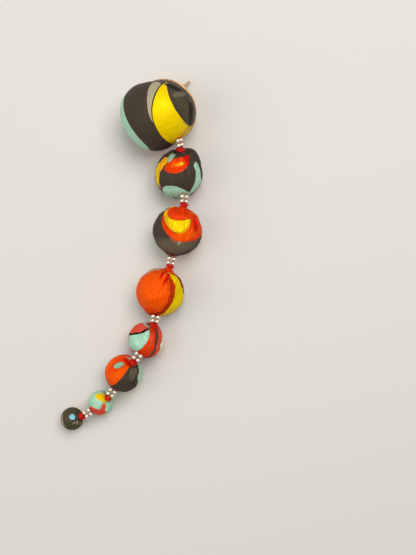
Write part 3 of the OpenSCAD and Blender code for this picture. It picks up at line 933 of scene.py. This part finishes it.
class MetalProps(PropertyGroup):
    """Plating of the disc, post and beads"""

    gold: StringProperty(name="Gold tone", description="Disc and post", default="#d9a861")
    silver: StringProperty(name="Silver tone", description="Small beads", default="#f6ebd6")
    dent_size: FloatProperty(
        name="Dent size", description="Size of the tiny dents", default=0.8 * MM, unit="LENGTH")
    dent_depth: FloatProperty(
        name="Dent depth", description="Their depth", default=0.02 * MM, unit="LENGTH")
    scuffed: FloatProperty(
        name="Scuffs", description="How much rougher a scuff is", default=0.16, subtype="FACTOR")
    gold_roughness: FloatProperty(
        name="Gold roughness", description="Of the polished disc", default=0.2, subtype="FACTOR")
    silver_roughness: FloatProperty(
        name="Silver roughness", description="Of the beads", default=0.26, subtype="FACTOR")


class StageProps(PropertyGroup):
    """Floor, light and camera"""

    paper: StringProperty(name="Paper", description="Colour of the floor", default="#d8d4cc")
    key: FloatProperty(name="Key light", description="Power of the main soft light", default=1.9)
    fill: FloatProperty(name="Fill light", description="Power of the weaker soft light", default=0.75)
    air: StringProperty(name="Air", description="Colour of the even light", default="#f2f1ee")
    room: FloatProperty(name="Room light", description="Strength of the even light", default=0.38)


def dye_table(scene):
    """The dyes by name"""
    return {name: getattr(scene.earring_dyes, name) for name in DyeProps.__annotations__}


# Silk


def check_solid(node, centre, diameter):
    """Stops the script where a ball's centre or size no longer fits its solid in the frame"""
    low, high = (np.array(corner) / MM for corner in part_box(node))
    off = max(np.abs((low + high) / 2 - centre).max(), np.abs(high - low - diameter).max() / 2)
    if off > SOLID_ALLOWANCE:
        raise RuntimeError(f"The silk of {node} is {off:.1f} mm off its solid")


def lathed(across, height, sides):
    """Rings of points round +Z, each at its distance from the axis and its height"""
    a = np.radians(np.arange(sides) * 360 / sides)
    return np.stack(np.broadcast_arrays(
        across[:, None] * np.cos(a), across[:, None] * np.sin(a), height[:, None]), axis=-1)


def outwards(rings):
    """Unit vectors from a ball's centre to the points of its rings"""
    return rings / np.linalg.norm(rings, axis=-1, keepdims=True)


def folds_of(ball, silk):
    """Valleys of a ball's gathers: azimuth round the neck and polar angle of the end, in degrees,
    depth in mm and the side on which the cloth falls off steeply. Sines of uneven rates stand in
    for chance, so the folds are the same each time"""
    number, count = ball.number, ball.pleats
    usual = silk.gather_depth / MM
    rise = min(1, LOW_GATHERS + ball.stand)
    folds = []
    for i in range(count):
        at = 360 / count * (i + STRAY * math.sin(2.4 * i + number))
        ends = WIDE_ENDS[0] + WIDE_ENDS[1] * math.sin(1.9 * i + 2.3 * number)
        deep = WIDE_DEPTH[0] + WIDE_DEPTH[1] * math.sin(3.1 * i + 1.7 * number)
        folds.append((at, ends, deep * rise * usual, (-1) ** i))
    small = 2 * count + 1
    for i in range(small):
        at = 360 / small * (i + STRAY * math.sin(1.7 * i + 2 * number))
        ends = SMALL_ENDS[0] + SMALL_ENDS[1] * math.sin(2.9 * i + number)
        folds.append((at, ends, SMALL_DEPTH * usual, -((-1) ** i)))
    for place, depth in FOLDS[number]:
        x, y, z = place_on_ball(*place) @ np.array(seen_axes(ball.centre)) @ ball.turn
        folds.append((math.degrees(math.atan2(y, x)), math.degrees(math.acos(z)), depth, 1))
    return folds


def fold_drop(ball, silk, polar, across):
    """How deep the folds lie on each ring, at its polar angle and distance from the neck's axis,
    in mm"""
    a = np.arange(silk.sides) * 360 / silk.sides
    drop = np.zeros((len(polar), len(a)))
    # A fold's steep side takes up at most a third or so of a pleat's width, its soft side the rest
    room = 2 * across / ball.pleats
    opening = 1 + FOLD_OPENING * ramp(polar, *OPENING_ZONE)
    for i, (at, ends, depth, side) in enumerate(folds_of(ball, silk)):
        line = at + FOLD_SNAKE * np.sin(np.radians(SNAKE_RATE * polar) + i)
        off = (a[None, :] - line[:, None] + 180) % 360 - 180
        x = side * np.radians(off) * across[:, None]
        steep = np.minimum(silk.fold_steep / MM * opening, room)[:, None]
        soft = np.minimum(silk.fold_soft / MM * opening, 2 * room)[:, None]
        crease = np.exp(-np.abs(x) / np.where(x > 0, steep, soft))
        drop += depth * crease * (1 - ramp(polar, FOLD_FULL * ends, ends))[:, None]
    return np.minimum(drop, FOLD_MOST * across[:, None])


def ball_shape(ball, silk):
    """The silk of one ball as it is laid on: rings of points from its centre, in mm, from the far
    pole to the neck's top, the number of rings that can settle, and how far the cloth runs"""
    radius, neck = ball.radius, ball.neck_radius
    top = radius + ball.stand
    collar = COLLAR_WIDTH * neck + COLLAR_GROWTH * ball.stand

    # The gathers leave the ball along a cone that touches it and ends in a collar round the neck
    foot = math.degrees(math.atan2(collar, top) + math.acos(radius / math.hypot(collar, top)))
    foot_across, foot_height = radius * sine(foot), radius * sine(90 - foot)
    polar = np.linspace(FAR_POLAR, foot, BALL_RINGS)
    rise = np.linspace(0, 1, CONE_RINGS + 1)[1:]
    # Columns: distance from the neck's axis and height
    inside = np.array([
        (collar - 0.12, top + 0.06), (neck + 0.1, top + 0.02), (neck, top + 0.05),
        (neck, radius + NECK_HEIGHT - 0.1), (neck * 0.8, radius + NECK_HEIGHT),
    ])
    across = np.concatenate([
        radius * sine(polar), foot_across + rise * (collar - foot_across), inside[:, 0]])
    height = np.concatenate([
        radius * sine(90 - polar), foot_height + rise * (top - foot_height), inside[:, 1]])
    free = len(across) - len(inside)
    polar = np.degrees(np.arctan2(across, height))
    drop = fold_drop(ball, silk, polar, across)
    drop[free + 2:] = 0

    rings = lathed(across, height, silk.sides) @ ball.turn.T
    around = outwards(rings)
    grown = swell(ball.number, around) * ramp(across, *LOBE_START)[:, None]
    rings = rings + around * (grown - drop)[..., None]
    run = np.hypot(np.diff(across, prepend=0), np.diff(height, prepend=-radius)).cumsum()
    return rings, free, run, polar


def dome_shape(silk):
    """The silk of the top ball as it is laid on: rings of points from its centre, in mm, from the
    flat back to the front, the two end points, and how far the cloth runs"""
    radius = DOME_DIAMETER / 2
    turn = tipped(DOME_RAISED_SIDE, -DOME_TILT)
    a = np.arange(silk.sides) * 360 / silk.sides
    edge = math.degrees(math.acos(-DOME_FLAT / radius))
    back = math.sqrt(radius ** 2 - DOME_FLAT ** 2)
    polar = np.linspace(*DOME_POLAR, DOME_RINGS)
    # Three rings lie on the flat back. Columns: how far inside its edge, height over it and the
    # place of the ring in the cloth, as a polar angle
    under = np.array([(3, 0, 133), (1, 0, 127), (0.06, 0.06, 121)])
    bare = np.zeros(len(under))
    tuck = silk.tuck_depth / MM * ramp(polar, *TUCK_RISE) * ramp(edge - polar, 0, TUCK_END)
    tuck = np.concatenate([bare, tuck])
    fade = np.concatenate([bare, ramp(edge - polar, 0, SWELL_END)])
    across = np.concatenate([back - under[:, 0], radius * sine(polar)])
    height = np.concatenate([under[:, 1] - DOME_FLAT, radius * sine(90 - polar)])
    rings = lathed(across, height, silk.sides) @ turn.T
    drop = tuck[:, None] * (1 - ridge(a, TUCKS, TUCK_SEED))[None, :]
    grown = swell(DOME_NUMBER, outwards(rings)) * fade[:, None]
    rings = rings * (1 + (grown - drop) / radius)[..., None]
    ends = np.array([[0, 0, -DOME_FLAT], [0, 0, radius]]) @ turn.T
    run = radius * np.radians(np.concatenate([under[:, 2], polar]))
    return rings, ends, run


def settling_cloth(rings, slack, apart):
    """A sheet of silk for the simulation, held at its first and last ring, with a slack from 0
    to 1 for each ring"""
    count, sides, _ = rings.shape
    faces = [tuple(v - 1 for v in face) for face in grid_faces(count, sides) if len(face) == 4]
    cloth = mesh_object("settling", rings.reshape(-1, 3) * SIM_SCALE + apart, faces)
    held = cloth.vertex_groups.new(name="held")
    loose = cloth.vertex_groups.new(name="loose")
    for j in range(count):
        ring = list(range(j * sides, (j + 1) * sides))
        held.add(ring, 1.0 if j in (0, count - 1) else 0.0, "REPLACE")
        loose.add(ring, float(slack[j]), "REPLACE")
    return cloth


def settling_core(scene, radius, apart):
    """The round core that a sheet settles on, and the collection that holds it"""
    mesh = bpy.data.meshes.new("core")
    sphere = bmesh.new()
    bmesh.ops.create_uvsphere(sphere, u_segments=64, v_segments=32, radius=radius * SIM_SCALE)
    sphere.to_mesh(mesh)
    sphere.free()
    core = bpy.data.objects.new("core", mesh)
    core.location = apart
    group = bpy.data.collections.new("core")
    scene.collection.children.link(group)
    group.objects.link(core)
    core.modifiers.new("core", "COLLISION")
    core.collision.thickness_outer = SIM_SKIN
    core.collision.cloth_friction = SIM_GRIP
    return core, group


def simulated(scene, sheets, silk):
    """Lets sheets of silk settle on their round cores, all at once, by cloth simulation. A sheet
    is rings of points from the core's centre, the core's radius and the slack of each ring. Its
    first and last rings are held. Gives the settled rings"""
    made = []
    for i, (rings, radius, slack) in enumerate(sheets):
        apart = np.array([SIM_APART * i, 0.0, 0.0])
        cloth = settling_cloth(rings, slack, apart)
        core, group = settling_core(scene, radius - silk.sink / MM, apart)
        modifier = cloth.modifiers.new("settling", "CLOTH")
        for name, value in CLOTH.items():
            setattr(modifier.settings, name, value)
        modifier.settings.shrink_max = -silk.slack
        modifier.settings.effector_weights.gravity = 0
        modifier.collision_settings.distance_min = SIM_SKIN
        modifier.collision_settings.use_self_collision = False
        modifier.collision_settings.collection = group
        modifier.point_cache.frame_start = 1
        modifier.point_cache.frame_end = silk.steps
        made.append((cloth, core, group, apart, rings.shape))

    for step in range(1, silk.steps + 1):
        scene.frame_set(step)
    graph = bpy.context.evaluated_depsgraph_get()
    settled = []
    for cloth, _, _, apart, shape in made:
        places = np.empty(math.prod(shape))
        cloth.evaluated_get(graph).data.vertices.foreach_get("co", places)
        settled.append(((places.reshape(-1, 3) - apart) / SIM_SCALE).reshape(shape))
    for cloth, core, group, _, _ in made:
        for thing in (cloth, core):
            mesh = thing.data
            bpy.data.objects.remove(thing)
            bpy.data.meshes.remove(mesh)
        bpy.data.collections.remove(group)
    scene.frame_set(1)
    return settled


def finer(rows, closed):
    """Rows with a new one between each two, on a smooth curve through its neighbours"""
    if closed:
        around = [np.roll(rows, -k, axis=0) for k in (-1, 0, 1, 2)]
    else:
        padded = np.concatenate([rows[:1], rows, rows[-1:]])
        around = [padded[k:len(rows) - 1 + k] for k in range(4)]
    before, one, other, after = around
    middle = (9 * (one + other) - before - after) / 16
    out = np.empty((len(rows) + len(middle), *rows.shape[1:]))
    out[::2], out[1::2] = rows, middle
    return out


def settle(scene, shapes, silk):
    """Moves the silk of several balls as it settles. A shape is its rings, how many of them can
    settle, the core's radius and the slack of each ring. Every other point is simulated"""
    sheets = [(rings[:free:2, ::2], radius, slack[:free:2]) for rings, free, radius, slack in shapes]
    all_settled = simulated(scene, sheets, silk)
    for (rings, free, _, _), (laid, _, _), settled in zip(shapes, sheets, all_settled):
        move = finer(settled - laid, False)
        move = finer(move.swapaxes(0, 1), True).swapaxes(0, 1)
        length = np.linalg.norm(move, axis=-1, keepdims=True)
        rings[:free] += move * np.minimum(1, silk.most / MM / np.maximum(length, 1e-6))


def dressed_silk(name, node, centre, rings, ends, run, sides, material):
    """One silk piece in place of its solid, from rings of points and two end points round the
    solid's centre. In the flat cloth each ring lies as far from the middle as the cloth runs"""
    points = np.vstack([ends[:1], rings.reshape(-1, 3), ends[1:]])
    piece = mesh_piece(name, centre + points, grid_faces(len(rings), sides), material)
    flat = lathed(run, 0 * run, sides).reshape(-1, 3)
    middle = np.zeros((1, 3))
    store(piece, "around", points / np.linalg.norm(points, axis=1)[:, None])
    store(piece, "cloth", np.vstack([middle, flat, middle]))
    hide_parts(node)


# Threads, solids and stage


def bead_centre(link, number):
    """Centre of a bead, in mm"""
    low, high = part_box(f"silver_bead_{link}_{number}")
    return np.array((low + high) / 2) / MM


def knot_path(ball, width):
    """Middle of the thread of one knot: up round the neck, down over the first turns, once
    slanting over them all, then inwards over the top"""
    inner = ball.neck_radius + KNOT_BESIDE * width
    outer = inner + KNOT_LAYER * width
    low = ball.radius + ball.stand + KNOT_ABOVE * width
    high = max(ball.radius + NECK_HEIGHT - KNOT_ABOVE * width, low + width)
    turns = (high - low) / (KNOT_PITCH * width)
    bulge = KNOT_BULGE * width
    # Columns: how many turns, distance from the neck's axis and height after them
    stages = np.array([
        (0, inner, low), (turns, inner, high), (0.3, outer, high),
        (turns / 2, outer + bulge, (low + high) / 2), (turns / 2, outer, low),
        (1.1, outer + 0.6 * width, high), (0.5, outer, high + 0.5 * width),
        (2.2, 0.3 * inner, high + 0.8 * width),
    ])
    at = np.cumsum(stages[:, 0])
    wound = np.linspace(0, at[-1], int(at[-1] * KNOT_STEPS))
    angle = 2 * np.pi * wound
    # Wound by hand, the turns aren't quite even
    stray_out, stray_up = (share * width for share in KNOT_STRAY)
    out = np.interp(wound, at, stages[:, 1]) + stray_out * np.sin(0.37 * angle + ball.number)
    up = np.interp(wound, at, stages[:, 2]) + stray_up * np.sin(0.53 * angle + 2 * ball.number)
    return np.stack([out * np.cos(angle), out * np.sin(angle), up], axis=1)


def strand(solid, start, end, width):
    """One straight thread through two beads. It runs on past the ends of its solid"""
    along = unit(end - start)
    reach = solid - start
    beside = reach - np.outer(reach @ along, along)
    own = reach[np.linalg.norm(beside, axis=1) < THREAD_REACH] @ along
    steps = np.linspace(own.min() - THREAD_OVERRUN, own.max() + THREAD_OVERRUN, STRAND_POINTS)
    return tube(start + steps[:, None] * along, width / 2, THREAD_SIDES)


def thread_piece(name, made, material):
    """One piece of thread, from its points, faces and run"""
    points, faces, run = made
    piece = mesh_piece(name, points, faces, material)
    store(piece, "run", run)
    return piece


def repaint(name, material):
    """Gives a solid of the frame its material"""
    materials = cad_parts[name].data.materials
    materials.clear()
    materials.append(material)


def aim_at(thing, place, target):
    """Puts a camera or light in its place and turns it to its target, with +Y up in the picture"""
    back = (place - target).normalized()
    right = Vector((0, 1, 0)).cross(back).normalized()
    turn = Matrix((right, back.cross(right), back)).transposed().to_4x4()
    thing.matrix_world = Matrix.Translation(place) @ turn


def soft_light(name, place, size, power):
    """A square soft box that points at the part"""
    data = bpy.data.lights.new(name, "AREA")
    data.size = size
    data.energy = power
    aim_at(new_object(name, data), Vector(place), Vector((0, 0, 0)))


# Operators


class EARRING_OT_top_ball(Operator):
    """Silk stretched over the flat-backed top ball"""

    bl_idname = "earring.top_ball"
    bl_label = "Top ball"

    def execute(self, context):
        silk = context.scene.earring_silk
        centre = np.array(DOME_AT)
        check_solid("dome_ball", centre, DOME_DIAMETER)
        rings, ends, run = dome_shape(silk)
        material = printed_silk_satin_with_painted_light(
            DOME_NUMBER, centre, DOME_DIAMETER / 2, dye_table(context.scene), silk, False)
        dressed_silk("top_ball_silk", "dome_ball", centre, rings, ends, run, silk.sides, material)
        return {"FINISHED"}


class EARRING_OT_silk_balls(Operator):
    """Silk gathered in pleats over the seven round balls"""

    bl_idname = "earring.silk_balls"
    bl_label = "Silk balls"

    def execute(self, context):
        scene = context.scene
        silk = scene.earring_silk
        laid = [ball_shape(ball, silk) for ball in BALLS]
        shapes = []
        for ball, (rings, free, _, polar) in zip(BALLS, laid):
            shapes.append((rings, free, ball.radius, 1 - ramp(polar, *SLACK_ZONE)))
        settle(scene, shapes, silk)
        for ball, (rings, _, run, _) in zip(BALLS, laid):
            node, centre, radius = f"fabric_ball_{ball.number}", ball.centre, ball.radius
            check_solid(node, centre, ball.diameter)
            ends = np.array([[0, 0, -radius], [0, 0, radius + NECK_HEIGHT]]) @ ball.turn.T
            material = printed_silk_satin_with_painted_light(
                ball.number, centre, radius, dye_table(scene), silk, True)
            dressed_silk(
                f"ball_silk_{ball.number}", node, centre, rings, ends, run, silk.sides, material)
        return {"FINISHED"}


class EARRING_OT_neck_threads(Operator):
    """Red silk thread wound round each neck"""

    bl_idname = "earring.neck_threads"
    bl_label = "Neck threads"

    def execute(self, context):
        thread = context.scene.earring_thread
        material = twisted_silk_thread("twisted_silk_thread_red", thread)
        width = thread.binding / MM
        for ball in BALLS:
            path = ball.centre + knot_path(ball, width) @ ball.turn.T
            made = tube(path, width / 2, THREAD_SIDES)
            piece = thread_piece(f"neck_thread_{ball.number}", made, material)
            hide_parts(f"neck_binding_{ball.number}")
        return {"FINISHED"}


class EARRING_OT_link_threads(Operator):
    """Two threads in each link, through the beads"""

    bl_idname = "earring.link_threads"
    bl_label = "Link threads"

    def execute(self, context):
        thread = context.scene.earring_thread
        material = twisted_silk_thread("twisted_silk_thread_link", thread)
        for k in range(1, LINKS + 1):
            solid = np.array([v.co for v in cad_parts[f"link_thread_{k}"].data.vertices]) / MM
            made = joined([
                strand(solid, bead_centre(k, first), bead_centre(k, second), thread.link / MM)
                for first, second in THREADED])
            piece = thread_piece(f"link_strands_{k}", made, material)
            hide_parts(f"link_thread_{k}")
        return {"FINISHED"}


class EARRING_OT_beads(Operator):
    """Silver-tone plating on the small drilled beads"""

    bl_idname = "earring.beads"
    bl_label = "Beads"

    def execute(self, context):
        metal = context.scene.earring_metal
        material = plated_brass(
            "silver_plated_brass", metal.silver, metal.silver_roughness, metal)
        for k in range(1, LINKS + 1):
            for number in sum(THREADED, ()):
                repaint(f"silver_bead_{k}_{number}", material)
        return {"FINISHED"}


class EARRING_OT_post(Operator):
    """Gold-tone plating on the disc and its ear post"""

    bl_idname = "earring.post"
    bl_label = "Disc and post"

    def execute(self, context):
        metal = context.scene.earring_metal
        material = plated_brass("gold_plated_brass", metal.gold, metal.gold_roughness, metal)
        repaint("post_back", material)
        return {"FINISHED"}


class EARRING_OT_stage(Operator):
    """Pale paper floor, soft studio light and the camera"""

    bl_idname = "earring.stage"
    bl_label = "Stage"

    def execute(self, context):
        scene = context.scene
        stage = scene.earring_stage
        corners = [(-1, -1, 0), (1, -1, 0), (1, 1, 0), (-1, 1, 0)]
        floor = mesh_object("floor", np.array(corners) * FLOOR_HALF, [(0, 1, 2, 3)])
        floor.data.materials.append(studio_paper(stage.paper))

        world = bpy.data.worlds.new("studio")
        world.use_nodes = True
        background = world.node_tree.nodes["Background"].inputs
        background["Color"].default_value = linear(stage.air)
        background["Strength"].default_value = stage.room
        scene.world = world

        # Dyes show as the colours that they are named with
        scene.view_settings.view_transform = "Standard"

        soft_light("key_light", *KEY_LIGHT, stage.key)
        soft_light("fill_light", *FILL_LIGHT, stage.fill)

        data = bpy.data.cameras.new("camera")
        data.sensor_fit = "AUTO"
        data.lens = data.sensor_width / 2 / math.tan(FIELD_OF_VIEW / 2)
        data.clip_start = 0.01
        data.clip_end = 10.0
        scene.camera = new_object("camera", data)
        aim_at(scene.camera, Vector(CAMERA_AT) * MM, Vector(LOOK_AT) * MM)
        return {"FINISHED"}


# Panel and start


class EARRING_PT_panel(Panel):
    """Lists the operators and properties of the earring"""

    bl_idname = "EARRING_PT_panel"
    bl_label = "Silk ball earring"
    bl_space_type = "VIEW_3D"
    bl_region_type = "UI"
    bl_category = "Earring"

    def draw(self, context):
        for name in STEPS:
            self.layout.operator(f"earring.{name}")
        for name, kind in PROPS.items():
            box = self.layout.box()
            box.label(text=kind.__doc__)
            for prop in kind.__annotations__:
                box.prop(getattr(context.scene, name), prop)


STEPS = ["top_ball", "silk_balls", "neck_threads", "link_threads", "beads", "post", "stage"]
PROPS = {
    "earring_dyes": DyeProps,
    "earring_silk": SilkProps,
    "earring_thread": ThreadProps,
    "earring_metal": MetalProps,
    "earring_stage": StageProps,
}
OPERATORS = [
    EARRING_OT_top_ball, EARRING_OT_silk_balls, EARRING_OT_neck_threads,
    EARRING_OT_link_threads, EARRING_OT_beads, EARRING_OT_post, EARRING_OT_stage,
]


def register():
    """Registers the classes and hangs the properties on the scene"""
    for kind in [*PROPS.values(), *OPERATORS, EARRING_PT_panel]:
        bpy.utils.register_class(kind)
    for name, kind in PROPS.items():
        setattr(bpy.types.Scene, name, PointerProperty(type=kind))


def unregister():
    """Takes it all off again"""
    for name in PROPS:
        delattr(bpy.types.Scene, name)
    for kind in reversed([*PROPS.values(), *OPERATORS, EARRING_PT_panel]):
        bpy.utils.unregister_class(kind)


def main():
    """Builds the looks"""
    register()
    for name in STEPS:
        getattr(bpy.ops.earring, name)()


if __name__ == "__main__":
    main()
